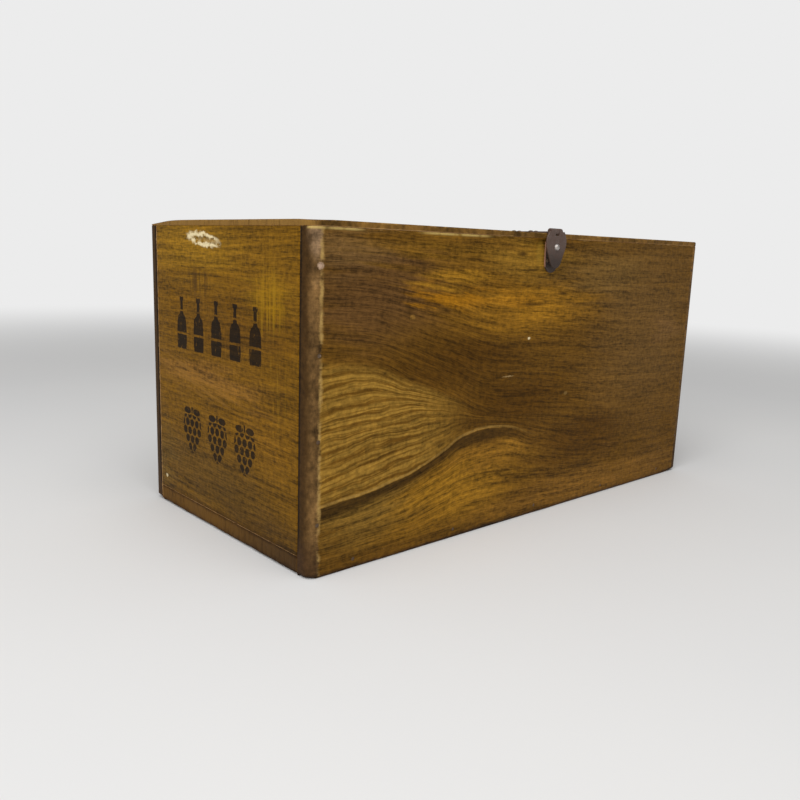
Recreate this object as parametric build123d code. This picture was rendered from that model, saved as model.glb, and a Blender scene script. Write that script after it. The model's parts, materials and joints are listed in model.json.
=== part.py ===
from build123d import *
import os

# A wooden box for bottles, with a hinged lid and an iron hasp. Sizes are in millimetres.
# The origin is the middle of the underside. +X runs along the box, -Y is the front with the hasp, +Z is up.

# Driving dimensions of the box
box_length = 450.0
box_depth = 220.0
box_height = 225.0
wall_thickness = 13.0
base_thickness = 13.0
lid_edge = 4.0
lid_tongue = 9.0
lid_play = 1.2
corner_radius = 7.0
arris_radius = 1.0
lid_arris_radius = 1.6

# Driving dimensions of the wire nails in the corners and in the base
nail_radius = 0.8
nail_head_radius = 1.4
nail_head_height = 0.9
nail_sink = 0.4
nail_bite = 20.0
corner_nails_per_joint = 4
corner_nail_inset = 23.0
base_nails_per_long_board = 5
base_nail_inset_along = 36.0
base_nails_per_end_board = 3
base_nail_inset_across = 50.0

# Driving dimensions of the two butt hinges, let in between the back board's top and the lid
hinge_width = 50.0
hinge_inset = 85.0
hinge_reach = 13.2
hinge_leaf_thickness = 1.1
hinge_barrel_radius = 2.8
hinge_pin_radius = 1.4
hinge_knuckles = 5
hinge_leaf_corner = 1.5
hinge_screw_row = 8.2
hinge_screw_spacing = 16.0
hinge_screws_per_leaf = 3

# Driving dimensions of the slotted wood screws
screw_radius = 1.25
screw_head_radius = 2.4
screw_head_height = 1.1
screw_slot_width = 0.7
screw_slot_depth = 0.5
back_screw_length = 12.0
lid_screw_cover = 1.0

# Driving dimensions of the hasp: a leaf on the lid, a tongue-shaped flap with a knob, and a keeper plate
hasp_width = 24.0
hasp_barrel_width = 13.0
hasp_plate_thickness = 1.2
flap_shoulder_drop = 7.0
flap_tip_radius = 7.0
flap_drop = 26.5
hasp_leaf_length = 47.0
hasp_barrel_radius = 2.4
hasp_barrel_rise = 3.6
hasp_pin_radius = 1.0
hasp_knuckles = 3
hasp_edge_radius = 0.35
knob_drop = 10.5
knob_radius = 2.6
knob_rise = 2.3
knob_shank_radius = 1.5
keeper_width = 15.5
keeper_thickness = 1.0
keeper_top_drop = 6.5
keeper_bottom_drop = 30.0
keeper_hole_radius = 1.9
keeper_hole_depth = 4.0
keeper_tack_spread = 9.5
keeper_tack_drop = 21.0
keeper_tack_length = 11.5
leaf_tack_length = 11.7
tack_radius = 0.8
tack_head_radius = 2.2
tack_head_height = 0.8
small_tack_head_radius = 1.5
leaf_tack_inset = 18.5
leaf_tack_spread = 6.5
leaf_tack_pitch = 17.0

# Clearances
pin_clearance = 0.05
knuckle_gap = 0.3
knuckle_notch_gap = 0.6
barrel_gap = 0.4
seam_gap = 0.1
knob_gap = 0.4
pin_head_radius_share = 0.8
pin_head_height = 0.8

# Sizes worked out from the ones above
wall_top = box_height - lid_edge
end_height = wall_top - base_thickness
inner_length = box_length - 2 * wall_thickness
inner_depth = box_depth - 2 * wall_thickness
front_face = -box_depth / 2
back_face = box_depth / 2
wall_middle_x = (box_length - wall_thickness) / 2
wall_middle_y = (box_depth - wall_thickness) / 2
hinge_axis_y = back_face + hinge_barrel_radius
hinge_axis_z = wall_top
hinge_pocket_depth = hinge_leaf_thickness + seam_gap
hinge_x = box_length / 2 - hinge_inset
hasp_axis_y = front_face - barrel_gap - hasp_barrel_radius
hasp_axis_z = box_height + hasp_barrel_rise - hasp_barrel_radius
flap_outer_face = hasp_axis_y - hasp_barrel_radius
axis_rise = hasp_axis_z - box_height


def spaced(count, inset, length):
    """Gives the places of a row of fasteners, centred on zero, with the same inset at both ends."""
    if count == 1:
        return [0.0]
    step = (length - 2 * inset) / (count - 1)
    return [-length / 2 + inset + step * i for i in range(count)]


def group(solids):
    """Puts separate solids in one node."""
    return Compound(children=list(solids))


def save(name, shape):
    """Writes one sub-part to its file."""
    export_step(shape, os.path.join("parts", name + ".step"))


def nail(length):
    """Makes a wire nail that points along -Z, with its head's top at the nail's sink below z = 0."""
    shank = Pos(0, 0, -length / 2) * Cylinder(nail_radius, length)
    shank -= Pos(0, 0, -nail_sink / 2) * Cylinder(2 * nail_radius, nail_sink)
    head = Pos(0, 0, -nail_sink - nail_head_height / 2) * Cylinder(nail_head_radius, nail_head_height)
    return shank + head


def nail_hole(length):
    """Makes the hole that the nail leaves, open to the surface at z = 0."""
    depth = nail_sink + nail_head_height
    shank = Pos(0, 0, -length / 2) * Cylinder(nail_radius, length)
    return shank + Pos(0, 0, -depth / 2) * Cylinder(nail_head_radius, depth)


def tack(length, head_radius):
    """Makes a round-headed tack that points along -Z, with the underside of its head at z = 0."""
    shank = Pos(0, 0, -length / 2) * Cylinder(tack_radius, length)
    ball_radius = (head_radius ** 2 + tack_head_height ** 2) / (2 * tack_head_height)
    ball = Pos(0, 0, tack_head_height - ball_radius) * Sphere(ball_radius)
    keep = Pos(0, 0, tack_head_height / 2) * Cylinder(head_radius, tack_head_height)
    return shank + (ball & keep)


def tack_hole(length):
    """Makes the hole for a tack's shank."""
    return Pos(0, 0, -length / 2) * Cylinder(tack_radius, length)


def screw_body(length):
    """Makes a countersunk screw without its slot, pointing along -Z, with its head flush at z = 0."""
    shank = Pos(0, 0, -length / 2) * Cylinder(screw_radius, length)
    cone = Pos(0, 0, -screw_head_height / 2) * Cone(screw_radius, screw_head_radius, screw_head_height)
    return shank + cone


def screw(length):
    """Makes a countersunk screw with a slotted head."""
    slot = Pos(0, 0, -screw_slot_depth / 2) * Box(2 * screw_head_radius, screw_slot_width, screw_slot_depth)
    return screw_body(length) - slot


def long_board(side):
    """Makes the front board (side -1) or the back board (side 1).

    They stand at full height and cover the edges of the base and of the end boards.
    """
    board = Pos(0, side * wall_middle_y, wall_top / 2) * Box(box_length, wall_thickness, wall_top)
    uprights = board.edges().filter_by(Axis.Z).group_by(Axis.Y)
    outer = uprights[0] if side < 0 else uprights[-1]
    board = fillet(outer, corner_radius)
    uprights = board.edges().filter_by(Axis.Z).group_by(Axis.Y)
    inner = uprights[-1] if side < 0 else uprights[0]
    board = fillet(inner, arris_radius)
    around_foot = board.faces().sort_by(Axis.Z)[0].edges().sort_by(Axis.Y)
    outside = around_foot[:-1] if side < 0 else around_foot[1:]
    board = fillet(outside, arris_radius)
    board -= group(corner_nail_places(side, nail_hole(wall_thickness + nail_bite)))
    board -= group(side_nail_places(side, nail_hole(wall_thickness + nail_bite)))
    return board


def end_board(side):
    """Makes the left end board (side -1) or the right one (side 1), which stands on the base."""
    middle = Pos(side * wall_middle_x, 0, base_thickness + end_height / 2)
    board = middle * Box(wall_thickness, inner_depth, end_height)
    uprights = board.edges().filter_by(Axis.Z).group_by(Axis.X)
    board = fillet(uprights[0] if side < 0 else uprights[-1], arris_radius)
    for end in (-1, 1):
        board -= group(corner_nail_places(end, nail_hole(wall_thickness + nail_bite)))
    board -= group(end_nail_places(nail_hole(base_thickness + nail_bite)))
    return board


def base_board():
    """Makes the base, which lies between the long boards and shows its cut ends under the end boards."""
    board = Pos(0, 0, base_thickness / 2) * Box(box_length, inner_depth, base_thickness)
    for cut_end in (board.faces().sort_by(Axis.X)[0], board.faces().sort_by(Axis.X)[-1]):
        board = fillet(cut_end.edges(), arris_radius)
    for side in (-1, 1):
        board -= group(side_nail_places(side, nail_hole(wall_thickness + nail_bite)))
    board -= group(end_nail_places(nail_hole(base_thickness + nail_bite)))
    return board


def lid_board():
    """Makes the lid: a thin rim that lies on the walls, and a thicker middle that drops between them."""
    rim = Pos(0, 0, wall_top + lid_edge / 2) * Box(box_length, box_depth, lid_edge)
    rim = fillet(rim.edges().filter_by(Axis.Z), corner_radius)
    rim = fillet(rim.faces().sort_by(Axis.Z)[-1].edges(), lid_arris_radius)
    tongue_length = inner_length - 2 * lid_play
    tongue_depth = inner_depth - 2 * lid_play
    tongue = Pos(0, 0, wall_top - lid_tongue / 2) * Box(tongue_length, tongue_depth, lid_tongue)
    tongue = fillet(tongue.edges().filter_by(Axis.Z), arris_radius)
    tongue = fillet(tongue.faces().sort_by(Axis.Z)[0].edges(), arris_radius)
    board = rim + tongue
    for side in (-1, 1):
        board -= on_seam(side, 1) * hinge_pocket()
        board -= group(hinge_screw_places(side, 1, screw_body(lid_screw_length)))
    board -= group(leaf_tack_places(tack_hole(leaf_tack_length)))
    return board


def into_side(side):
    """Turns a nail that points along -Z into the front board (side -1) or the back board (side 1)."""
    return Rot(90, 0, 0) if side < 0 else Rot(-90, 0, 0)


def corner_nail_places(side, shape):
    """Places a shape at each nail through the front (side -1) or back (side 1) board into both end boards."""
    rows = spaced(corner_nails_per_joint, corner_nail_inset, end_height)
    middle = base_thickness + end_height / 2
    return [
        Pos(end * wall_middle_x, side * box_depth / 2, middle + row) * into_side(side) * shape
        for end in (-1, 1)
        for row in rows
    ]


def side_nail_places(side, shape):
    """Places a shape at each nail through the front (side -1) or back (side 1) board into the base."""
    along = spaced(base_nails_per_long_board, base_nail_inset_along, box_length)
    return [Pos(x, side * box_depth / 2, base_thickness / 2) * into_side(side) * shape for x in along]


def end_nail_places(shape):
    """Places a shape at each nail that goes up through the base into an end board."""
    across = spaced(base_nails_per_end_board, base_nail_inset_across, box_depth)
    return [
        Pos(side * wall_middle_x, y, 0) * Rot(180, 0, 0) * shape
        for side in (-1, 1)
        for y in across
    ]


def knuckle_spans(width, knuckles, first):
    """Gives the start and end of every second knuckle along a barrel, counted from the given one."""
    pitch = width / knuckles
    spans = []
    for i in range(first, knuckles, 2):
        low = -width / 2 + i * pitch + (0 if i == 0 else knuckle_gap / 2)
        high = -width / 2 + (i + 1) * pitch - (0 if i == knuckles - 1 else knuckle_gap / 2)
        spans.append((low, high))
    return spans


def leaf(plate, width, knuckles, first, barrel_radius, bore_radius):
    """Makes a hinge leaf from its plate, which runs out along +Y from a pin on the X axis.

    The leaf has every second knuckle, counted from first, and its plate is notched where the other
    leaf's knuckles are.
    """
    notch_reach = barrel_radius + knuckle_notch_gap
    for low, high in knuckle_spans(width, knuckles, 1 - first):
        notch_width = high - low + 2 * knuckle_gap
        notch = Box(notch_width, 2 * notch_reach, 4 * barrel_radius)
        plate -= Pos((low + high) / 2, 0, 0) * notch
    shape = plate
    for low, high in knuckle_spans(width, knuckles, first):
        shape += Pos((low + high) / 2, 0, 0) * Rot(0, 90, 0) * Cylinder(barrel_radius, high - low)
    shape -= Rot(0, 90, 0) * Cylinder(bore_radius, 2 * width)
    return shape


def hinge_outline():
    """Makes the outline of a hinge leaf's plate, which runs out along +Y from the pin."""
    outline = Pos(0, hinge_reach / 2) * Rectangle(hinge_width, hinge_reach)
    return fillet(outline.vertices().group_by(Axis.Y)[-1], hinge_leaf_corner)


def hinge_leaf(first):
    """Makes one leaf of a back hinge, with its screw holes, lying just above its own XY plane."""
    plate = Pos(0, 0, seam_gap) * extrude(hinge_outline(), hinge_leaf_thickness)
    bore_radius = hinge_pin_radius + pin_clearance
    shape = leaf(plate, hinge_width, hinge_knuckles, first, hinge_barrel_radius, bore_radius)
    for place in leaf_screw_places(screw_body(2 * hinge_pocket_depth)):
        shape -= place
    return shape


def hinge_pocket():
    """Makes the shallow pocket in the wood that a hinge leaf lies in."""
    return extrude(hinge_outline(), hinge_pocket_depth)


def leaf_screw_places(shape):
    """Places a shape, pointing away from the seam, at each screw of a hinge leaf in the leaf's own frame."""
    middle = (hinge_screws_per_leaf - 1) / 2
    return [
        Pos((i - middle) * hinge_screw_spacing, hinge_screw_row, seam_gap) * Rot(180, 0, 0) * shape
        for i in range(hinge_screws_per_leaf)
    ]


def on_seam(side, way):
    """Gives the place of a hinge leaf: its plate runs forwards from the pin, above the seam or below it.

    Way is 1 for the lid's leaf, above the seam, and -1 for the back board's leaf, below it.
    """
    turn = Rot(0, 0, 180) if way > 0 else Rot(180, 0, 0)
    return Pos(side * hinge_x, hinge_axis_y, hinge_axis_z) * turn


def hinge_screw_places(side, way, shape):
    """Places a shape at each screw of one hinge leaf."""
    return [on_seam(side, way) * place for place in leaf_screw_places(shape)]


def hinge_pin():
    """Makes the pin of a back hinge, with a rounded head against each outer knuckle."""
    head_radius = hinge_barrel_radius * pin_head_radius_share
    pin = Rot(0, 90, 0) * Cylinder(hinge_pin_radius, hinge_width)
    for end in (-1, 1):
        head = Rot(0, 90, 0) * Cylinder(head_radius, pin_head_height)
        pin += Pos(end * (hinge_width + pin_head_height) / 2, 0, 0) * head
    return pin


def strap_outline(width, length):
    """Makes the outline of a straight strap along +Y with a half-round end."""
    straight = length - width / 2
    return Pos(0, straight / 2) * Rectangle(width, straight) + Pos(0, straight) * Circle(width / 2)


def flap_outline():
    """Makes the flap's outline: round shoulders below the barrel, then a taper to a round tip."""
    shoulders = Pos(0, flap_shoulder_drop + axis_rise) * Circle(hasp_width / 2)
    tip = Pos(0, flap_drop + axis_rise - flap_tip_radius) * Circle(flap_tip_radius)
    below_axis = Pos(0, flap_drop) * Rectangle(2 * hasp_width, 2 * flap_drop)
    return make_hull(shoulders.edges() + tip.edges()) & below_axis


def hasp_plate(outline, low):
    """Makes a hasp plate from its outline, with its upper edges eased and its lower face at z = low."""
    plate = Pos(0, 0, low) * extrude(outline, hasp_plate_thickness)
    edges = plate.faces().sort_by(Axis.Z)[-1].edges().sort_by(Axis.Y)
    return fillet(edges[1:], hasp_edge_radius)


def hasp_leaf():
    """Makes the hasp's fixed leaf, which lies on the lid and holds the middle knuckle."""
    length = hasp_leaf_length + front_face - hasp_axis_y
    plate = hasp_plate(strap_outline(hasp_barrel_width, length), -axis_rise)
    bore_radius = hasp_pin_radius + pin_clearance
    shape = leaf(plate, hasp_barrel_width, hasp_knuckles, 1, hasp_barrel_radius, bore_radius)
    shape = Pos(0, hasp_axis_y, hasp_axis_z) * shape
    for place in leaf_tack_places(tack_hole(leaf_tack_length)):
        shape -= place
    return shape


def leaf_tack_places(shape):
    """Places a shape at each tack of the hasp's leaf."""
    top = box_height + hasp_plate_thickness
    return [
        Pos(side * leaf_tack_spread / 2, front_face + leaf_tack_inset + row * leaf_tack_pitch, top) * shape
        for side in (-1, 1)
        for row in (0, 1)
    ]


def hasp_flap():
    """Makes the hasp's flap, which hangs over the front, with a hole for its knob."""
    knob_hole = Pos(0, knob_drop + axis_rise) * Circle(knob_shank_radius)
    plate = hasp_plate(flap_outline(), hasp_barrel_radius - hasp_plate_thickness)
    plate -= extrude(knob_hole, 2 * hasp_barrel_radius)
    bore_radius = hasp_pin_radius + pin_clearance
    shape = leaf(plate, hasp_barrel_width, hasp_knuckles, 0, hasp_barrel_radius, bore_radius)
    return Pos(0, hasp_axis_y, hasp_axis_z) * Rot(90, 0, 0) * Rot(0, 0, 180) * shape


def hasp_pin():
    """Makes the hasp's pin, which ends flush with the outer knuckles."""
    return Pos(0, hasp_axis_y, hasp_axis_z) * Rot(0, 90, 0) * Cylinder(hasp_pin_radius, hasp_barrel_width)


def on_front(x, drop, face):
    """Gives a place in front of the box, at a drop below the lid's top, with its local +Z forwards."""
    return Pos(x, face, box_height - drop) * Rot(90, 0, 0)


def hasp_knob():
    """Makes the domed knob of the flap. Its tail stops just in front of the keeper plate's hole."""
    ball_radius = (knob_radius ** 2 + knob_rise ** 2) / (2 * knob_rise)
    ball = Pos(0, 0, knob_rise - ball_radius) * Sphere(ball_radius)
    dome = ball & (Pos(0, 0, knob_rise / 2) * Cylinder(knob_radius, knob_rise))
    tail_length = front_face - keeper_thickness - knob_gap - flap_outer_face
    knob = dome + Pos(0, 0, -tail_length / 2) * Cylinder(knob_shank_radius, tail_length)
    tail_tip = knob.faces().sort_by(Axis.Z)[0].edges()
    return on_front(0, knob_drop, flap_outer_face) * fillet(tail_tip, knob_shank_radius / 2)


def keeper_plate():
    """Makes the keeper plate behind the flap, with the hole that the knob's spring tip snaps into."""
    outline = strap_outline(keeper_width, keeper_bottom_drop - keeper_top_drop)
    plate = on_front(0, keeper_top_drop, front_face) * Rot(0, 0, 180) * extrude(outline, keeper_thickness)
    plate -= on_front(0, knob_drop, front_face) * Cylinder(keeper_hole_radius, 2 * keeper_hole_depth)
    for place in keeper_tack_places(tack_hole(keeper_tack_length)):
        plate -= place
    return plate


def keeper_tack_places(shape):
    """Places a shape at each tack of the keeper plate."""
    return [
        on_front(side * keeper_tack_spread / 2, keeper_tack_drop, front_face - keeper_thickness) * shape
        for side in (-1, 1)
    ]


# Screws in the lid's thin edge, which stop short of its top
lid_screw_length = lid_edge - seam_gap - lid_screw_cover

# Front board, which also takes the keeper's tacks and has a blind hole behind the keeper's own
front_board = long_board(-1)
front_board -= on_front(0, knob_drop, front_face) * Cylinder(keeper_hole_radius, 2 * keeper_hole_depth)
front_board -= group(keeper_tack_places(tack_hole(keeper_tack_length)))

# Back board, which is cut for the hinges
back_board = long_board(1)
for hinge_side in (-1, 1):
    back_board -= on_seam(hinge_side, -1) * hinge_pocket()
    back_board -= group(hinge_screw_places(hinge_side, -1, screw_body(back_screw_length)))

os.makedirs("parts", exist_ok=True)

save("base_board", base_board())
save("front_board", front_board)
save("back_board", back_board)
save("left_end_board", end_board(-1))
save("right_end_board", end_board(1))
save("lid_board", lid_board())

save("front_corner_nails", group(corner_nail_places(-1, nail(wall_thickness + nail_bite))))
save("back_corner_nails", group(corner_nail_places(1, nail(wall_thickness + nail_bite))))
save("front_base_nails", group(side_nail_places(-1, nail(wall_thickness + nail_bite))))
save("back_base_nails", group(side_nail_places(1, nail(wall_thickness + nail_bite))))
save("end_base_nails", group(end_nail_places(nail(base_thickness + nail_bite))))

for label, hinge_side in (("left", -1), ("right", 1)):
    save(label + "_hinge_back_leaf", on_seam(hinge_side, -1) * hinge_leaf(0))
    save(label + "_hinge_lid_leaf", on_seam(hinge_side, 1) * hinge_leaf(1))
    save(label + "_hinge_pin", on_seam(hinge_side, 1) * hinge_pin())
    save(label + "_hinge_back_screws", group(hinge_screw_places(hinge_side, -1, screw(back_screw_length))))
    save(label + "_hinge_lid_screws", group(hinge_screw_places(hinge_side, 1, screw(lid_screw_length))))

save("hasp_leaf", hasp_leaf())
save("hasp_leaf_tacks", group(leaf_tack_places(tack(leaf_tack_length, tack_head_radius))))
save("hasp_flap", hasp_flap())
save("hasp_pin", hasp_pin())
save("hasp_knob", hasp_knob())
save("hasp_keeper_plate", keeper_plate())
save("hasp_keeper_tacks", group(keeper_tack_places(tack(keeper_tack_length, small_tack_head_radius))))
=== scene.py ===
import json
import math
from collections import namedtuple

import bmesh
import bpy
import numpy as np
from mathutils import Matrix, Vector, noise


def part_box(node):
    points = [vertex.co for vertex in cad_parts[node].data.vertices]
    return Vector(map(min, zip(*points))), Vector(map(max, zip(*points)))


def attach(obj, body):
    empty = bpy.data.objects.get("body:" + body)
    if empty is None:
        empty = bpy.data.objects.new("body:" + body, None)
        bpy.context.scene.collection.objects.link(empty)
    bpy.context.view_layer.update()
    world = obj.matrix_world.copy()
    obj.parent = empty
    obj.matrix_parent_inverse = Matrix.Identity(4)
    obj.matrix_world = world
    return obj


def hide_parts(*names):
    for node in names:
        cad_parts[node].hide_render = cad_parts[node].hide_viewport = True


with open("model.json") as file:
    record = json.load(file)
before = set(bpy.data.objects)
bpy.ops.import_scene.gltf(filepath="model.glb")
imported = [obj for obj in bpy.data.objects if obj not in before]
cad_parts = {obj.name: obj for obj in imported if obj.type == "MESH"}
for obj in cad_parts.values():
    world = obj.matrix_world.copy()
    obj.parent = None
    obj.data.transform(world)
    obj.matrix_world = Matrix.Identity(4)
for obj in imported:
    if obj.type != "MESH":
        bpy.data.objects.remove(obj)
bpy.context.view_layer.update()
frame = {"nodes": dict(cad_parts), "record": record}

# A stained and waxed wooden box for bottles, with an iron hasp. Lengths are in metres. X runs along the
# box, -Y is the front, Z is up, and the origin is the middle of the underside.

MM = 0.001

# The camera, fitted to the box's edges in the photograph
CAMERA_PLACE = (-0.4991, -0.4943, 0.2093)
CAMERA_TURN = -42.1
CAMERA_PITCH = -10.85
CAMERA_ROLL = 1.93
CAMERA_LENS = 35.45
SENSOR_WIDTH = 36.0
CLIP_START = 0.01

# Shape of the worn boards. Edge lines are the grid's distances from a board's edge.
GRID_STEP = 6 * MM
EDGE_LINES = [0.0, 0.35 * MM, 0.8 * MM, 1.4 * MM, 2.2 * MM, 3.4 * MM, 5.0 * MM, 7.0 * MM, 9.5 * MM]
LONG_CORNER = 7.0 * MM
RIGHT_CORNER = 4.5 * MM
SMALL_CORNER = 1.0 * MM
LONG_ARRIS = 0.7 * MM
END_ARRIS = 0.4 * MM
LID_ARRIS = 1.1 * MM
FOOT_ARRIS = 3.0 * MM
NAIL_PIT_RADIUS = 1.5 * MM
NAIL_PIT_DEPTH = 0.45 * MM

# Shape of the lid and of what is let into the boards
LID_EDGE = 4.0 * MM
LID_PLAY = 1.2 * MM
LID_OVERLAP = 1.0 * MM
HINGE_MIDDLE = 140 * MM
HINGE_WIDTH = 50 * MM
HINGE_FRONT = 99.6 * MM
HINGE_POCKET_DEPTH = 1.2 * MM
KEEPER_HOLE_RADIUS = 1.9 * MM
KEEPER_HOLE_DEPTH = 4.0 * MM
KEEPER_HOLE_HEIGHT = 214.5 * MM

lid_low, lid_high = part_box("lid_board")
rim_low = Vector((lid_low.x, lid_low.y, lid_high.z - LID_EDGE))
front_low, front_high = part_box("front_board")
base_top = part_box("base_board")[1].z
inner_y = front_high.y
inner_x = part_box("left_end_board")[1].x
wall_top = front_high.z
half_length = front_high.x
half_depth = -front_low.y


def tone(red, green, blue):
    """Turns a display colour, 0 to 255, into the linear colour that a shader takes."""
    def straight(value):
        value = value / 255
        return value / 12.92 if value <= 0.04045 else ((value + 0.055) / 1.055) ** 2.4
    return (straight(red), straight(green), straight(blue), 1.0)


# Materials: small helpers

class Value:
    """A number that varies over a surface, held by an output of a material's node."""

    def __init__(self, graph, socket):
        self.graph = graph
        self.socket = socket

    def __add__(self, other):
        return self.graph.math("ADD", self, other)

    __radd__ = __add__

    def __sub__(self, other):
        return self.graph.math("SUBTRACT", self, other)

    def __rsub__(self, other):
        return self.graph.math("SUBTRACT", other, self)

    def __mul__(self, other):
        return self.graph.math("MULTIPLY", self, other)

    __rmul__ = __mul__

    def __truediv__(self, other):
        return self.graph.math("DIVIDE", self, other)

    def __abs__(self):
        return self.graph.math("ABSOLUTE", self)


class Graph:
    """A material and the nodes that paint it."""

    def __init__(self, name):
        self.material = bpy.data.materials.new(name)
        self.material.use_nodes = True
        self.tree = self.material.node_tree
        self.shader = self.tree.nodes["Principled BSDF"]
        coordinates = self.tree.nodes.new("ShaderNodeTexCoord")
        self.place = Value(self, coordinates.outputs["Object"])
        self.x, self.y, self.z = self.split(coordinates.outputs["Object"])
        self.nx, self.ny, self.nz = self.split(coordinates.outputs["Normal"])

    def node(self, kind, **settings):
        made = self.tree.nodes.new(kind)
        for key, value in settings.items():
            setattr(made, key, value)
        return made

    def feed(self, socket, value):
        """Links a value to a socket, or sets a plain number or colour on it."""
        if isinstance(value, Value):
            self.tree.links.new(value.socket, socket)
        else:
            socket.default_value = value

    def split(self, socket):
        parts = self.node("ShaderNodeSeparateXYZ")
        self.tree.links.new(socket, parts.inputs[0])
        return [Value(self, out) for out in parts.outputs]

    def math(self, operation, *terms):
        made = self.node("ShaderNodeMath", operation=operation)
        for socket, term in zip(made.inputs, terms):
            self.feed(socket, term)
        return Value(self, made.outputs[0])

    def least(self, a, b):
        return self.math("MINIMUM", a, b)

    def most(self, a, b):
        return self.math("MAXIMUM", a, b)

    def sine(self, a):
        return self.math("SINE", a)

    def fade(self, value, low, high):
        """Goes smoothly from 0 at low to 1 at high. High may be below low."""
        made = self.node("ShaderNodeMapRange", interpolation_type="SMOOTHSTEP")
        self.feed(made.inputs[0], value)
        flip = high < low
        made.inputs["From Min"].default_value = min(low, high)
        made.inputs["From Max"].default_value = max(low, high)
        made.inputs["To Min"].default_value = 1.0 if flip else 0.0
        made.inputs["To Max"].default_value = 0.0 if flip else 1.0
        return Value(self, made.outputs[0])

    def point(self, x, y, z):
        made = self.node("ShaderNodeCombineXYZ")
        for socket, value in zip(made.inputs, (x, y, z)):
            self.feed(socket, value)
        return Value(self, made.outputs[0])

    def noise(self, point, scale=1.0, detail=3.0, roughness=0.5):
        """Gives smooth noise from 0 to 1, about 0.5 in the mean."""
        made = self.node("ShaderNodeTexNoise")
        self.feed(made.inputs["Vector"], point)
        made.inputs["Scale"].default_value = scale
        made.inputs["Detail"].default_value = detail
        made.inputs["Roughness"].default_value = roughness
        return Value(self, made.outputs[0])

    def curve(self, value, points):
        """Reads a smooth curve through the given points. Both of its axes run from 0 to 1."""
        made = self.node("ShaderNodeFloatCurve")
        self.feed(made.inputs["Value"], value)
        made.mapping.extend = "HORIZONTAL"
        line = made.mapping.curves[0]
        for _ in range(len(points) - 2):
            line.points.new(0.5, 0.5)
        for place, (across, up) in zip(line.points, points):
            place.location = (across, up)
        made.mapping.update()
        return Value(self, made.outputs[0])

    def mix(self, a, b, share, blend="MIX"):
        """Mixes colour b into colour a by a share from 0 to 1."""
        made = self.node("ShaderNodeMix", data_type="RGBA", blend_type=blend)
        self.feed(made.inputs[0], share)
        self.feed(made.inputs[6], a)
        self.feed(made.inputs[7], b)
        return Value(self, made.outputs[2])

    def scale(self, colour, factor):
        """Makes a colour lighter or darker by a factor."""
        made = self.node("ShaderNodeVectorMath", operation="SCALE")
        self.feed(made.inputs[0], colour if isinstance(colour, Value) else colour[:3])
        self.feed(made.inputs["Scale"], factor)
        return Value(self, made.outputs[0])

    def spot(self, a, b, middle, size, soft=0.5):
        """Gives a soft oval: 1 inside, 0 outside, in the two coordinates a and b."""
        da = (a - middle[0]) / size[0]
        db = (b - middle[1]) / size[1]
        reach = self.math("SQRT", da * da + db * db)
        return self.fade(reach, 1.0 + soft / 2, 1.0 - soft)

    def finish(self, colour, roughness, height, bump_distance, metallic=0.0, specular=0.5):
        """Connects the shader's inputs, and raises a bump from the height."""
        self.feed(self.shader.inputs["Base Color"], colour)
        self.feed(self.shader.inputs["Roughness"], roughness)
        self.shader.inputs["Metallic"].default_value = metallic
        self.shader.inputs["Specular IOR Level"].default_value = specular
        bump = self.node("ShaderNodeBump")
        bump.inputs["Strength"].default_value = 1.0
        bump.inputs["Distance"].default_value = bump_distance
        self.feed(bump.inputs["Height"], height)
        self.tree.links.new(bump.outputs["Normal"], self.shader.inputs["Normal"])
        return self.material


# Wood

GOLD = tone(134, 94, 22)
YELLOW = tone(148, 110, 14)
BROWN = tone(98, 67, 18)
ORANGE = tone(152, 101, 14)
DARK = tone(80, 52, 10)
DARKEST = tone(52, 34, 8)
GREY = tone(99, 72, 32)
DULL = tone(92, 68, 30)
CREAM = tone(226, 208, 164)
BARE = tone(184, 152, 98)
RAW = tone(186, 146, 98)
RAW_DARK = tone(140, 98, 56)
BLACK = tone(18, 13, 8)
# Multiplied in as painted shade along seams and at the boards' feet
EDGE_SHADE = (0.34, 0.29, 0.24, 1)
RING = (0.5, 0.45, 0.4, 1)
GRAIN_LINE = (0.44, 0.37, 0.25, 1)

# How strongly each kind of grain varies the stain
BAND = 0.8
STREAK = 1.9
FIBRE = 2.2
MOTTLE = 1.5
WIPED = 0.45
PORES = 0.2

# How fine each kind of grain is, in features per metre along and across the board
BAND_SIZE = (8, 80)
STREAK_SIZE = (17, 420)
FIBRE_SIZE = (120, 1150)
WIPED_SIZE = (420, 60)
MOTTLE_SIZE = 280
CLOUD_SIZE = 18

# How deep the stain reaches from a board's inner face, from where it is all raw, and how squarely a
# raw face looks into the box
STAIN_REACH = 1.2 * MM
RAW_FROM = 0.4 * MM
FACING = (0.4, 0.8)


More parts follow.
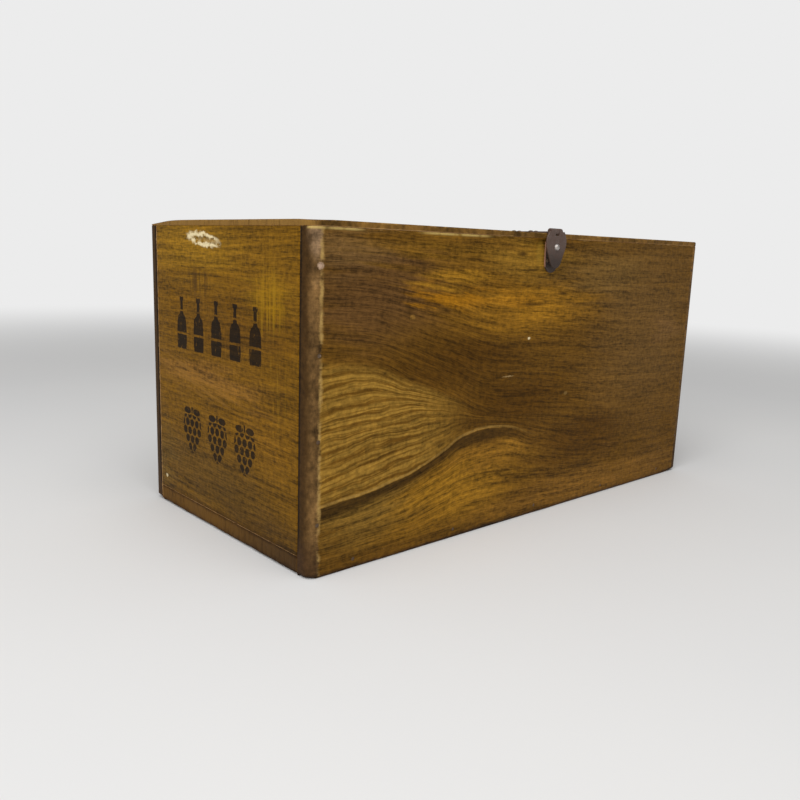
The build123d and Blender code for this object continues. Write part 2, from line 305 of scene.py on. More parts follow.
class Wood:
    """One board's paint: its coordinates, its grain, its stain, and the marks on it.

    Marks are placed in millimetres: along the board from its start, in the direction of its way, and
    across it.
    """

    def __init__(self, name, low, high, along, across, seed, start=0.0, way=1):
        g = self.g = Graph(name)
        axes = {"x": g.x, "y": g.y, "z": g.z}
        self.along = axes[along]
        self.across = axes[across]
        self.end_facing = abs({"x": g.nx, "y": g.ny, "z": g.nz}[along])
        self.seed = seed
        self.start = start
        self.way = way

        # Distance from the nearest edge, on any face: two faces meet where two of the gaps are 0
        gaps = []
        for value, bottom, top in zip((g.x, g.y, g.z), low, high):
            gaps.append((top - bottom) / 2 - abs(value - (bottom + top) / 2))
        upright = g.most(gaps[0], gaps[1])
        lying = g.most(gaps[2], g.least(gaps[0], gaps[1]))
        self.edge = g.least(upright, lying)

        wander = g.noise(g.point(self.along * 5, self.across * 14, seed), detail=2)
        self.follow(self.across + (wander - 0.5) * (12 * MM))

    def mark(self, along):
        """Turns a mark's distance from the start into the board's own coordinate."""
        return self.start + self.way * (along * MM)

    def oval(self, rough, place, size, soft):
        """Gives a soft oval with a rough outline. Place and size are in millimetres."""
        along, across = place
        a = self.along + rough[0]
        b = self.across + rough[1]
        return self.g.spot(a, b, (self.mark(along), across * MM), (size[0] * MM, size[1] * MM), soft)

    def follow(self, level):
        """Makes the grain run where the level is the same."""
        self.level = level
        self.ragged = self.grain(13, 110, 5, 1.7) - 0.5

    def grain(self, length, width, detail=3.0, shift=0.0):
        """Gives streaks along the grain. Length and width are in features per metre."""
        g = self.g
        place = g.point(self.along * length, self.level * width, self.seed + shift)
        return g.noise(place, detail=detail, roughness=0.6)

    def paint(self, tint, share, blend="MIX"):
        """Puts a tint over the stain by a share from 0 to 1."""
        self.colour = self.g.mix(self.colour, tint, share, blend)

    def patch(self, tint, place, size, strength=0.85, soft=0.8):
        """Stains an oval that breaks up along the grain."""
        rough = (self.ragged * (110 * MM), self.ragged * (36 * MM))
        self.paint(tint, self.oval(rough, place, size, soft) * strength)

    def shade(self, depth=1.0, grained=1.0):
        """Varies how deep the stain is: bands, streaks, mottling, wipe marks across, and dark pores.

        Grained is the share of the streaks and pores that show.
        """
        g = self.g
        band = self.grain(*BAND_SIZE, 3, 3.1) - 0.5
        self.streak = self.grain(*STREAK_SIZE, 2, 7.7) - 0.5
        fibre = self.grain(*FIBRE_SIZE, 2, 5.3) - 0.5
        mottle = g.noise(g.place, scale=MOTTLE_SIZE, roughness=0.65) - 0.5
        along, across = WIPED_SIZE
        wiped = g.noise(g.point(self.along * along, self.across * across, self.seed + 2), detail=2) - 0.5
        cloud = g.noise(g.place, scale=CLOUD_SIZE, detail=2)
        self.pores = g.fade(fibre, 0.1, 0.2) * grained
        lengthwise = (band * BAND + self.streak * STREAK + fibre * FIBRE) * grained
        deep = lengthwise + mottle * MOTTLE + wiped * g.fade(cloud, 0.42, 0.62) * WIPED
        light = deep * depth - self.pores * (PORES * depth) + 1.05
        self.colour = g.scale(self.colour, g.most(light, 0.4))

    def knot(self, place, size, strength=0.85):
        """Adds a small dark knot."""
        rough = self.ragged * (5 * MM)
        self.paint(DARKEST, self.oval((rough, rough * 0.4), place, size, 0.9) * strength)

    def nick(self, tint, place, size, strength=0.9):
        """Adds a small pale nick."""
        rough = (self.g.noise(self.g.place, scale=700, detail=2) - 0.5) * (1.6 * MM)
        self.paint(tint, self.oval((rough, rough), place, size, 0.4) * strength)

    def end_grain(self, tint):
        """Shows end grain where the board is cut across."""
        g = self.g
        rings = g.noise(g.point(g.x * 60, g.y * 400, g.z * 90), detail=4, roughness=0.7)
        cut = g.mix(tint, RING, g.fade(rings, 0.45, 0.7) * 0.7, "MULTIPLY")
        self.paint(cut, g.fade(self.end_facing, 0.35, 0.85))

    def rubbed_edges(self, tint, reach=1.2 * MM, strength=0.7):
        """Rubs the stain through along the edges, here and there."""
        g = self.g
        ragged = g.noise(g.place, scale=90, detail=5, roughness=0.7)
        distance = self.edge + (ragged - 0.44) * (6 * MM)
        self.paint(tint, g.fade(distance, reach, 0.0) * strength)

    def dark_edge(self, distance, reach, strength=0.7):
        """Paints shade along a seam or a board's foot, which lies where the distance is 0: the wood grows
        darker towards it.
        """
        g = self.g
        ragged = g.noise(g.place, scale=150) - 0.5
        self.paint(EDGE_SHADE, g.fade(distance + ragged * reach, reach, 0.0) * strength, "MULTIPLY")

    def raw_inside(self, coordinate, start, end, facing=1.0):
        """Leaves the inside of the box unstained. Facing is 1 on faces that look into the box."""
        g = self.g
        pale = g.mix(RAW_DARK, RAW, g.fade(self.grain(5, 160, 4, 11), 0.3, 0.62))
        dirt = g.noise(g.place, scale=9, detail=4)
        light = 1 + self.streak * 1.2 - g.fade(dirt, 0.5, 0.75) * 0.3 - self.pores * 0.3
        self.paint(g.scale(pale, light), g.fade(coordinate, start, end) * facing)

    def done(self, gloss=0.5):
        """Finishes the material. Its bumps follow the streaks, and the pores are dull."""
        g = self.g
        height = self.streak * 0.8 - self.pores * 0.6
        cloud = g.noise(g.place, scale=40, detail=4)
        roughness = gloss + (cloud - 0.5) * 0.25 + self.pores * 0.2
        return g.finish(self.colour, roughness, height, 0.3 * MM, specular=0.05)


# The long boards' corners. Turn is the way around a corner: below 0 on the board's cut end, above 0 on
# its long face.

CORNER_SHADOW = tone(26, 17, 6)
CUT_END = tone(62, 42, 18)
CORNER_FOOT = tone(64, 44, 26)
CORNER_SHINE = tone(180, 146, 84)
SHINE_TURN = 7.3 * MM
UPPER_FROM = 196 * MM
UPPER_FULL = 216 * MM


def long_board_corner(wood, upper_tone, lower_tone, shine_and_wear, grained=1.0):
    """Paints a long board's rounded upright corners and its cut ends beside the end boards, with a
    painted shadow in the seam at the end board and a tone that changes near the top; the front's greyer
    top near the left corner is a painted reflection.

    The fourth argument is the strength of the bright line on the corner, a painted highlight that is
    partly wear, and grained is the share of the grain that shows.
    """
    g = wood.g
    turn = abs(g.y) - abs(g.x) + (half_length - half_depth)
    rough = g.noise(g.point(g.x, g.y, g.z * 0.6), scale=260, detail=4, roughness=0.7) - 0.5
    turn = turn + rough * (4 * MM)
    cloud = g.noise(g.place, scale=34, detail=4, roughness=0.6) - 0.5
    # Near the top the corner turns to the upper tone; on the front this is a painted reflection, greyer
    # towards the left
    outer = g.mix(lower_tone, upper_tone, g.fade(g.z + cloud * (60 * MM), UPPER_FROM, UPPER_FULL))
    outer = g.scale(outer, 1 + cloud * 2.8 + rough * 2.4)
    # Painted shadow in the seam beside the end board, then the dark cut end, then the outer tone, darker
    # at the foot
    stain = g.mix(CORNER_SHADOW, CUT_END, g.fade(turn, -12.0 * MM, -9.4 * MM))
    stain = g.mix(stain, outer, g.fade(turn, -8.5 * MM, 4.0 * MM))
    stain = g.mix(stain, CORNER_FOOT, g.fade(g.z + cloud * (20 * MM), 36 * MM, 8 * MM) * 0.8)
    wood.paint(stain, g.fade(turn, 8.5 * MM, 6.5 * MM))
    wood.shade(1.0, (g.fade(turn, 1 * MM, 10 * MM) * 0.85 + 0.15) * grained)

    # A broken bright line where the corner's rounding meets the face: a painted highlight, partly worn
    # bare wood
    broken = g.noise(g.point(g.x * 40, g.y * 40, g.z * 110), detail=5, roughness=0.7)
    line = g.fade(abs(turn - SHINE_TURN), 2.2 * MM, 0.2 * MM) * g.fade(broken, 0.36, 0.62)
    wood.paint(CORNER_SHINE, line * shine_and_wear)


# The front board. A strong line of grain climbs from the lower left and sinks again, and a fan of lines
# opens above it. The curves run from 0 to 1 along the board, and their heights are shares of a unit.

LINE_UNIT = 100 * MM
LINE_HEIGHT = [
    (0.0, 0.46), (0.149, 0.52), (0.253, 0.66), (0.322, 0.775),
    (0.391, 0.775), (0.476, 0.675), (0.611, 0.52), (0.722, 0.45), (1.0, 0.42),
]
FAN_UNIT = 150 * MM
FAN_TOP = [
    (0.0, 0.955), (0.1, 0.92), (0.167, 0.853), (0.278, 0.72),
    (0.367, 0.613), (0.5, 0.56), (0.722, 0.467), (1.0, 0.44),
]
FAN_CLIMB = [(0.0, 0.0), (0.11, 0.5), (0.22, 0.82), (0.36, 0.96), (1.0, 1.0)]
FAN_CROWDING = 0.85
GRAIN_BELOW = 60 * MM
GRAIN_IN_FAN = 40 * MM
GRAIN_ABOVE = 135 * MM
HEAVY_LINES = 13
FINE_LINES = 31


def front_grain(wood):
    """Makes the front's grain follow the strong line and the fan.

    Gives the height over the strong line, the share of the way up through the fan, and the same share
    bent so that the fan's lines crowd towards its lower edge.
    """
    g = wood.g
    run = (wood.along - wood.start) / (half_length * 2)
    line = g.curve(run, LINE_HEIGHT) * LINE_UNIT
    fan_top = g.curve(run, FAN_TOP) * FAN_UNIT
    wobble = g.noise(g.point(wood.along * 16, wood.across * 34, 2.0)) - 0.5
    z = wood.across + wobble * (5 * MM)
    fan = g.least(g.most((z - line) / (fan_top - line), 0.0), 1.0)
    below = g.least(z / line, 1.0)
    above = g.most((z - fan_top) / (lid_high.z - fan_top), 0.0)
    sweep = fan - g.curve(run, FAN_CLIMB) * fan * (1 - fan) * FAN_CROWDING
    wood.follow(below * GRAIN_BELOW + sweep * GRAIN_IN_FAN + above * GRAIN_ABOVE)
    return z - line, fan, sweep + wobble * 0.14


def front_patches(wood):
    """Stains the front in patches: brown at the right, orange at the upper left, golden below."""
    wood.colour = BROWN
    wood.patch(tone(106, 77, 36), (370, 150), (95, 90), 0.8)
    wood.patch(tone(94, 65, 32), (48, 180), (62, 36), 0.95)
    wood.patch(tone(108, 82, 50), (25, 208), (40, 14), 0.7)
    wood.patch(tone(124, 88, 24), (130, 209), (110, 12), 0.8)
    wood.patch(tone(136, 100, 32), (196, 204), (52, 16))
    wood.patch(tone(146, 102, 24), (205, 168), (84, 22), 0.9)
    wood.patch(tone(112, 84, 40), (300, 196), (64, 22), 0.7)
    wood.patch(tone(114, 82, 42), (404, 146), (30, 14), 0.7)
    wood.patch(DARK, (130, 132), (70, 22), 0.95)
    wood.patch(DARK, (196, 98), (72, 24), 0.9)
    wood.patch(DARK, (290, 58), (66, 22), 0.9)
    wood.patch(DARKEST, (292, 30), (28, 6), 0.6)
    wood.patch(tone(142, 101, 26), (128, 38), (84, 28), 0.95)
    wood.patch(tone(122, 92, 36), (40, 40), (50, 26), 0.8)
    wood.patch(tone(134, 94, 28), (168, 60), (44, 14), 0.85)
    wood.patch(tone(126, 88, 32), (310, 12), (140, 15), 0.85)
    wood.patch(tone(154, 110, 28), (118, 189), (40, 6), 0.8, 0.6)
    wood.patch(ORANGE, (116, 175), (42, 6), 0.85, 0.6)
    wood.patch(tone(150, 102, 22), (168, 172), (56, 6), 0.75)
    wood.patch(ORANGE, (84, 178), (10, 9), 0.6, 0.9)


def front_fan(wood, fan, phase):
    """Paints golden wood between the fan's dark lines, which run out to the right.

    Gives the share of the surface that lies in the fan.
    """
    g = wood.g
    fan_end = g.fade(wood.along, wood.mark(150), wood.mark(84))
    inside = g.fade(fan, 0.0, 0.03) * g.fade(fan, 0.99, 0.88) * fan_end
    wood.paint(tone(148, 112, 44), inside * 0.95)
    heavy = g.fade(g.sine(phase * (2 * math.pi * HEAVY_LINES)), -0.1, 0.9)
    fine = g.fade(g.sine(phase * (2 * math.pi * FINE_LINES) + wood.ragged * 5), -0.1, 0.9)
    gaps = g.noise(g.point(wood.along * 30, phase * 60, 4.0), roughness=0.6)
    broken = g.fade(gaps, 0.3, 0.56)
    lines = g.most(heavy * broken, fine * broken * 0.75)
    wood.paint(GRAIN_LINE, lines * inside, "MULTIPLY")
    return inside


def strong_line(wood, over):
    """Paints the strong line of grain: sharp above, fading below, with a thin bright edge over it."""
    g = wood.g
    shadow = g.fade(over + wood.ragged * (16 * MM), -12 * MM, -3 * MM) * g.fade(over, 0.8 * MM, 0.0)
    line_end = g.fade(wood.along, wood.mark(230), wood.mark(160))
    wood.paint(tone(58, 39, 12), shadow * line_end * 0.9)
    glint = g.fade(abs(over - 1.6 * MM), 1.4 * MM, 0.4 * MM)
    wood.paint(tone(152, 120, 62), glint * line_end * 0.5)


def front_top_line(wood):
    """Paints the front's top edge bright in two places: a painted highlight along its rounded edge,
    partly worn bare wood.
    """
    g = wood.g
    worn = g.fade(abs(g.x - wood.mark(16)), 26 * MM, 15 * MM) * g.fade(g.y, -103 * MM, -106 * MM)
    worn = g.most(worn, g.fade(abs(g.x - wood.mark(122)), 40 * MM, 22 * MM))
    worn = worn * g.fade(g.noise(g.point(g.x * 90, 0.0, 3.3)), 0.3, 0.55)
    # Painted highlight on the top edge, partly wear
    top_highlight_and_wear = g.fade(g.z, wall_top - 2.2 * MM, wall_top - 0.8 * MM) * worn
    wood.paint(tone(196, 168, 100), top_highlight_and_wear * 0.75)


def front_material():
    """Paints the front board: a fan of grain at the left, an orange patch, brown to the right."""
    wood = Wood("front_wood", front_low, front_high, "x", "z", 1.0, front_low.x)
    g = wood.g
    over, fan, phase = front_grain(wood)
    front_patches(wood)
    inside = front_fan(wood, fan, phase)
    strong_line(wood, over)
    wood.knot((192, 209), (7, 1.8))
    wood.knot((206, 171), (18, 1.5), 0.7)
    wood.knot((243, 179), (6, 1.7), 0.8)
    wood.knot((79, 169), (3, 4), 0.6)
    wood.nick(tone(164, 122, 52), (82, 165), (2.6, 2), 0.4)

    at_left = g.fade(g.x, 100 * MM, -100 * MM)
    calm = g.fade(wood.along, wood.mark(250), wood.mark(380)) * 0.35
    # Towards the upper left the corner's upper tone is greyer, a painted reflection, and the corner's
    # painted highlight is stronger
    upper_tone = g.mix(tone(104, 76, 38), tone(118, 94, 68), at_left)
    long_board_corner(wood, upper_tone, tone(96, 71, 40), at_left * 0.85, 1 - inside * 0.5 - calm)
    wood.nick(CREAM, (205, 145), (1.7, 1.2))
    wood.nick(tone(150, 118, 66), (257, 97), (2.6, 1.6), 0.5)
    wood.nick(tone(180, 150, 100), (183, 117), (7, 0.5), 0.6)
    wood.nick(tone(190, 160, 132), (6.5, 198), (2.4, 2.2), 0.8)
    wood.nick(tone(168, 132, 50), (212, 210), (5, 9), 0.4)
    front_top_line(wood)
    wood.rubbed_edges(BARE, 0.6 * MM, 0.25)
    # Painted shade at the board's foot, where the box stands on the floor
    wood.dark_edge(g.z, 4.5 * MM, 1.0)
    wood.raw_inside(g.y, inner_y - STAIN_REACH, inner_y - RAW_FROM, g.fade(g.ny, *FACING))
    return wood.done()


# The end boards

def end_patches(wood):
    """Stains an end board in patches: golden at the top, brown in the middle, dull at the foot."""
    wood.colour = tone(106, 73, 12)
    wood.patch(tone(132, 96, 20), (66, 206), (90, 22), 0.9)
    wood.patch(tone(114, 80, 16), (180, 200), (50, 26), 0.7)
    wood.patch(YELLOW, (176, 174), (22, 18), 0.35)
    wood.patch(tone(92, 61, 10), (130, 150), (90, 22), 0.8)
    wood.patch(tone(130, 90, 34), (84, 113), (80, 11), 0.8)
    wood.patch(tone(78, 53, 22), (164, 98), (18, 3.5), 0.75)
    wood.patch(tone(122, 84, 18), (170, 80), (40, 22), 0.6)
    wood.patch(tone(90, 64, 20), (90, 38), (110, 30), 0.95)
    wood.patch(tone(102, 78, 36), (22, 30), (20, 40), 0.6)
    wood.patch(tone(72, 50, 18), (170, 20), (60, 14), 0.8)


def stain_runs(wood):
    """Adds thin upright runs of lighter and darker stain, dark at the back and light at the front."""
    g = wood.g
    front_run = wood.mark(176)
    drip = g.noise(g.point(g.y * 300, g.z * 14, wood.seed - 2), detail=2)
    dark_runs = g.spot(g.y, g.z, (wood.mark(80), 181 * MM), (16 * MM, 12 * MM), 0.8)
    light_runs = g.spot(g.y, g.z, (front_run, 150 * MM), (26 * MM, 80 * MM), 0.8)
    yellow_runs = g.spot(g.y, g.z, (front_run, 172 * MM), (21 * MM, 19 * MM), 0.7)
    patchy = g.fade(g.noise(g.place, scale=45), 0.42, 0.6)
    wood.paint(tone(72, 48, 16), g.fade(drip, 0.5, 0.6) * dark_runs * 0.75)
    wood.paint(tone(158, 118, 12), g.fade(drip, 0.42, 0.66) * yellow_runs * 0.6)
    wood.paint(tone(146, 108, 24), g.fade(drip, 0.52, 0.66) * light_runs * patchy * 0.5)
    wood.paint(tone(78, 52, 14), g.fade(drip, 0.48, 0.34) * light_runs * patchy * 0.35)


def slanting_streaks(wood):
    """Adds lighter streaks that sink towards the front, at half height."""
    g = wood.g
    middle = wood.mark(73)
    slant = g.z - (g.y - middle) * 0.18
    streaks = g.fade(g.noise(g.point(g.y * 14, slant * 300, wood.seed + 1)), 0.47, 0.6)
    streaks = streaks * g.spot(g.y, slant, (middle, 111 * MM), (76 * MM, 15 * MM), 0.8)
    wood.paint(tone(144, 102, 40), streaks * 0.55)


def scuff(wood):
    """Adds a flattened loop of pale scuffed wood near the top."""
    g = wood.g
    along, height = wood.mark(87), 211.5 * MM
    rough = g.noise(g.place, scale=230) - 0.5
    a = g.y + rough * (6 * MM)
    b = g.z + rough * (6 * MM) - (g.y - along) * 0.1
    outer = g.spot(a, b, (along, height), (25 * MM, 5.2 * MM), 0.2)
    inner = g.spot(a, b, (along - 4 * MM, height), (20 * MM, 2.0 * MM), 0.5)
    torn = g.fade(g.noise(g.point(g.x, g.y * 0.5, g.z), scale=420), 0.3, 0.5)
    wood.paint(CREAM, outer * (1 - inner * 0.85) * torn)


def end_material(side):
    """Paints an end board. The left one (side -1) has a stencil and a pale scuff."""
    node = "left_end_board" if side < 0 else "right_end_board"
    wood = Wood(node + "_wood", *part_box(node), "y", "z", 5.0 + side, half_depth, -1)
    g = wood.g
    end_patches(wood)
    wood.shade(1.15, 0.8)
    stain_runs(wood)
    slanting_streaks(wood)
    if side < 0:
        stencil(wood)
        scuff(wood)
        wood.nick(CREAM, (22.5, 23), (1.8, 1.6), 0.7)
    # Painted shade in the seam above the base
    wood.dark_edge(g.z - base_top, 5 * MM, 0.6)
    inside = abs(inner_x)
    wood.raw_inside(abs(g.x), inside + STAIN_REACH, inside + RAW_FROM, g.fade(abs(g.nx), *FACING))
    return wood.done()


# The stencil on the left end. The bottle's half widths and the bunch's are shares, over their height.

STENCIL_MIDDLE = 5 * MM
BOTTLE_COUNT = 5
BOTTLE_PITCH = 26 * MM
BOTTLE_WIDTH = 14 * MM
BOTTLE_HEIGHT = 39 * MM
BOTTLE_FOOT = 130 * MM
BOTTLE_PROFILE = [
    (0.0, 0.94), (0.03, 1.0), (0.5, 1.0), (0.62, 0.78),
    (0.7, 0.36), (0.92, 0.3), (0.93, 0.42), (1.0, 0.42),
]
BUNCH_COUNT = 3
BUNCH_PITCH = 38 * MM
BUNCH_HEIGHT = 36 * MM
BUNCH_TOP = 87 * MM
BUNCH_PROFILE = [(0.0, 0.0), (0.16, 0.0), (0.2, 0.62), (0.5, 0.72), (0.8, 0.4), (1.0, 0.08)]
GRAPE_PITCH = 7.2 * MM
GRAPE_ROW = GRAPE_PITCH * 0.87
GRAPE_RADIUS = 3.1 * MM
STEM_HALF_WIDTH = 1.3 * MM
LEAF_PLACE = (7 * MM, BUNCH_TOP - 3.4 * MM)
LEAF_SIZE = (5.4 * MM, 2.6 * MM)


def stencil_row(g, a, pitch, count):
    """Repeats a shape along a row.

    Gives the distance from the nearest shape's middle line, and a share that is 1 in the row.
    """
    half_row = count / 2 * pitch
    cell = g.math("PINGPONG", a - STENCIL_MIDDLE + half_row, pitch / 2)
    in_row = g.fade(abs(a - STENCIL_MIDDLE), half_row, half_row - 0.2 * MM)
    return pitch / 2 - cell, in_row


def bottle_row(g, a, b):
    """Draws the row of bottles. Two bridges cross each one, as a cut stencil needs."""
    from_middle, in_row = stencil_row(g, a, BOTTLE_PITCH, BOTTLE_COUNT)
    up = (b - BOTTLE_FOOT) / BOTTLE_HEIGHT
    half_width = g.curve(up, BOTTLE_PROFILE) * (BOTTLE_WIDTH / 2)
    inside = g.fade(half_width - from_middle, -0.15 * MM, 0.15 * MM)
    inside = inside * g.fade(up, -0.004, 0.004) * g.fade(up, 1.004, 0.996)
    bridges = g.fade(abs(up - 0.30), 0.016, 0.028) * g.fade(abs(up - 0.74), 0.012, 0.022)
    return inside * in_row * bridges


def grape_row(g, a, b):
    """Draws the row of bunches: round grapes in staggered rows, a stem, and a leaf on either side."""
    from_middle, in_row = stencil_row(g, a, BUNCH_PITCH, BUNCH_COUNT)
    down = (BUNCH_TOP - b) / BUNCH_HEIGHT
    dots = []
    for shift in (0, 1):
        across = g.math("PINGPONG", from_middle + GRAPE_PITCH * shift / 2, GRAPE_PITCH / 2)
        rise = g.math("PINGPONG", BUNCH_TOP - b + GRAPE_ROW * shift, GRAPE_ROW)
        reach = g.math("SQRT", across * across + rise * rise)
        dots.append(g.fade(reach, GRAPE_RADIUS, GRAPE_RADIUS - 0.3 * MM))
    half_width = g.curve(down, BUNCH_PROFILE) * (BUNCH_PITCH / 2)
    bunch = g.most(*dots) * g.fade(half_width - from_middle, -0.4 * MM, 0.1 * MM)
    bunch = bunch * g.fade(down, 0.15, 0.17) * g.fade(down, 1.01, 0.98)
    stem = g.fade(from_middle, STEM_HALF_WIDTH, STEM_HALF_WIDTH - 0.4 * MM)
    stem = stem * g.fade(down, -0.01, 0.01) * g.fade(down, 0.15, 0.13)
    leaf = g.spot(from_middle, b, LEAF_PLACE, LEAF_SIZE, 0.1)
    return g.most(bunch, g.most(stem, leaf)) * in_row


def stencil(wood):
    """Adds a worn black stencil: a row of bottles above a row of grapes."""
    g = wood.g
    rough = g.noise(g.place, scale=380) - 0.5
    a = g.y + rough * (1.2 * MM)
    b = g.z + rough * (1.2 * MM)
    worn = g.noise(g.point(g.x, g.y * 2, g.z), scale=210, detail=4, roughness=0.7)
    marks = g.most(bottle_row(g, a, b), grape_row(g, a, b)) * g.fade(worn, 0.28, 0.42)
    thin = g.noise(g.place, scale=30, detail=2)
    wood.paint(BLACK, marks * (0.8 + thin * 0.2))


# The back, the lid and the base

def back_material():
    """Paints the back board like the rest, plainer and dustier."""
    wood = Wood("back_wood", *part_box("back_board"), "x", "z", 9.0)
    g = wood.g
    wood.colour = tone(100, 72, 33)
    wood.patch(GOLD, (-80, 155), (110, 24), 0.7)
    wood.patch(tone(132, 88, 30), (110, 65), (90, 22), 0.8)
    wood.patch(GREY, (150, 185), (70, 30), 0.7)
    wood.patch(DARK, (-40, 75), (120, 22), 0.8)
    wood.patch(tone(116, 86, 38), (-150, 30), (80, 22), 0.7)
    wood.knot((-118, 129), (9, 5))
    wood.knot((64, 163), (6, 3))
    # The back's corners get the same bright line, a painted highlight that is partly wear
    long_board_corner(wood, tone(70, 48, 16), tone(92, 74, 44), 0.4)
    wood.rubbed_edges(BARE, 0.8 * MM, 0.6)
    # Painted shade at the board's foot, where the box stands on the floor
    wood.dark_edge(g.z, 3.0 * MM)
    facing = g.fade(g.ny, -FACING[0], -FACING[1])
    wood.raw_inside(g.y, -inner_y + STAIN_REACH, -inner_y + RAW_FROM, facing)
    return wood.done()


def lid_material():
    """Paints the lid, with its worn rim and raw underside."""
    wood = Wood("lid_wood", rim_low, lid_high, "x", "y", 13.0)
    g = wood.g
    wood.colour = tone(108, 78, 35)
    wood.patch(tone(138, 90, 30), (-90, 30), (110, 26), 0.8)
    wood.patch(GREY, (-170, -70), (60, 36), 0.7)
    wood.patch(GREY, (120, 60), (100, 34), 0.7)
    wood.patch(DARK, (80, -30), (130, 18), 0.8)
    wood.patch(GOLD, (30, -78), (150, 22), 0.7)
    wood.knot((30, 48), (10, 6))
    wood.knot((-140, -24), (6, 4))
    wood.shade()
    wood.rubbed_edges(tone(172, 138, 78), 1.0 * MM, 0.6)
    wood.raw_inside(g.z, wall_top + 0.6 * MM, wall_top + 0.1 * MM)
    wood.end_grain(g.mix(RAW_DARK, tone(134, 100, 48), g.fade(g.z, wall_top, wall_top + 0.4 * MM)))
    return wood.done()


def base_material():
    """Paints the base, darker than the walls."""
    wood = Wood("base_wood", *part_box("base_board"), "x", "y", 17.0)
    g = wood.g
    wood.colour = tone(98, 68, 28)
    wood.patch(DULL, (-120, 30), (120, 40), 0.7)
    wood.patch(DARKEST, (100, -40), (130, 30), 0.5)
    wood.shade()
    wood.end_grain(g.mix(tone(76, 54, 28), tone(104, 73, 30), g.fade(g.y, -90 * MM, 20 * MM)))
    # Painted shade at the base's foot, where it stands on the floor, and in the seam under the walls
    wood.dark_edge(g.z, 6 * MM, 0.9)
    wood.dark_edge(base_top - g.z, 3 * MM, 0.9)
    wood.raw_inside(g.z, base_top - 0.6 * MM, base_top - 0.1 * MM, g.fade(g.nz, *FACING))
    return wood.done(0.6)


# Iron

# Multiplied in as painted shade low on the hasp's front
IRON_SHADE = (0.42, 0.42, 0.4, 1)
# Painted highlight on the keeper plate's left edge
KEEPER_RIM_HIGHLIGHT = tone(172, 128, 106)


def iron_material(name, colours, roughness, metallic, rubbed_at=None, shaded_below=None):
    """Makes aged iron: clouded, a little rusty, bright near a worn spot, and on the front darker towards
    the bottom, a painted shade under and behind the hasp's flap, with a painted highlight on the keeper
    plate's left edge.

    Colours are those of the iron, of its rust and of its bright places.
    """
    colour, rust, bright = colours
    g = Graph(name)
    cloud = g.noise(g.place, scale=220, detail=5, roughness=0.65)
    fine = g.noise(g.place, scale=1400)
    paint = g.mix(colour, rust, g.fade(cloud, 0.5, 0.7) * 0.7)
    paint = g.mix(paint, bright, g.fade(cloud * 0.6 + fine * 0.4, 0.46, 0.34) * 0.5)
    if rubbed_at is not None:
        paint = g.mix(paint, bright, g.spot(g.x, g.z, rubbed_at, (12 * MM, 12 * MM)))
    # On the front, painted shade: darker towards the bottom, under and behind the flap
    if shaded_below is not None:
        front = g.fade(g.y, -half_depth + 2 * MM, -half_depth)
        low = g.fade(g.z + (cloud - 0.5) * (12 * MM), shaded_below, shaded_below - 14 * MM) * front
        paint = g.mix(paint, IRON_SHADE, low, "MULTIPLY")
        # Painted highlight on the keeper plate's left edge beside the flap
        paint = g.mix(paint, KEEPER_RIM_HIGHLIGHT, keeper_rim_highlight(g, front) * 0.8)
    height = cloud * 0.7 + fine * 0.3
    return g.finish(paint, roughness + (fine - 0.5) * 0.3, height, 0.25 * MM, metallic, 0.4)


def keeper_rim_highlight(g, front):
    """Gives the keeper plate's left edge where it shows beside the flap, painted lighter as a highlight.
    """
    behind = g.fade(g.y, -half_depth - 1.3 * MM, -half_depth - 1.1 * MM) * front
    return g.fade(g.x, -6.6 * MM, -7.3 * MM) * g.fade(g.x, -9 * MM, -8 * MM) * behind


# Boards with rounded and worn edges

# How a board is worn: the radii of its upright corners, in the order front left, front right, back right,
# back left; the radius of its top and bottom edges, and of its lower edge on the outside of the box; a
# seed for how uneven they are; and its soft spots. A soft spot is a place on the top or the bottom, a
# reach and a depth, where the wood is worn down.
Wear = namedtuple("Wear", "corners arris foot seed soft_spots")

# How much the arrises vary: a share of their radius, and features per metre
COARSE_WEAR = (0.45, 60)
FINE_WEAR = (0.3, 210)
LEAST_WEAR = 0.35
MOST_WEAR = 2.2
OUTSIDE_MARGIN = 1 * MM


def grid_lines(low, high):
    """Gives the grid's places along one axis, close together near both ends."""
    length = high - low
    edges = [e for e in EDGE_LINES if e < length * 0.45]
    inner = length - 2 * edges[-1]
    count = max(1, round(inner / GRID_STEP))
    middle = [low + edges[-1] + inner * i / count for i in range(1, count)]
    return np.array([low + e for e in edges] + middle + [high - e for e in reversed(edges)])


def grid_box(low, high):
    """Makes the six gridded sides of a block as points and four-sided faces."""
    lines = [grid_lines(low[i], high[i]) for i in range(3)]
    counts = [len(line) for line in lines]
    index = {}
    points = []

    def corner(i, j, k):
        if (i, j, k) not in index:
            index[(i, j, k)] = len(points)
            points.append((lines[0][i], lines[1][j], lines[2][k]))
        return index[(i, j, k)]

    faces = []
    for axis in range(3):
        u, v = [(1, 2), (2, 0), (0, 1)][axis]
        for end in (0, counts[axis] - 1):
            for a in range(counts[u] - 1):
                for b in range(counts[v] - 1):
                    quad = []
                    for da, db in ((0, 0), (1, 0), (1, 1), (0, 1)):
                        cell = [0, 0, 0]
                        cell[axis], cell[u], cell[v] = end, a + da, b + db
                        quad.append(corner(*cell))
                    faces.append(quad if end else quad[::-1])
    return np.array(points), faces


def wear_noise(points, scale, seed):
    """Gives smooth noise from -1 to 1 at each point."""
    shift = Vector((seed * 7.3, seed * 3.1, seed * 5.7))
    return np.array([noise.noise(Vector(p) * scale + shift) for p in points])


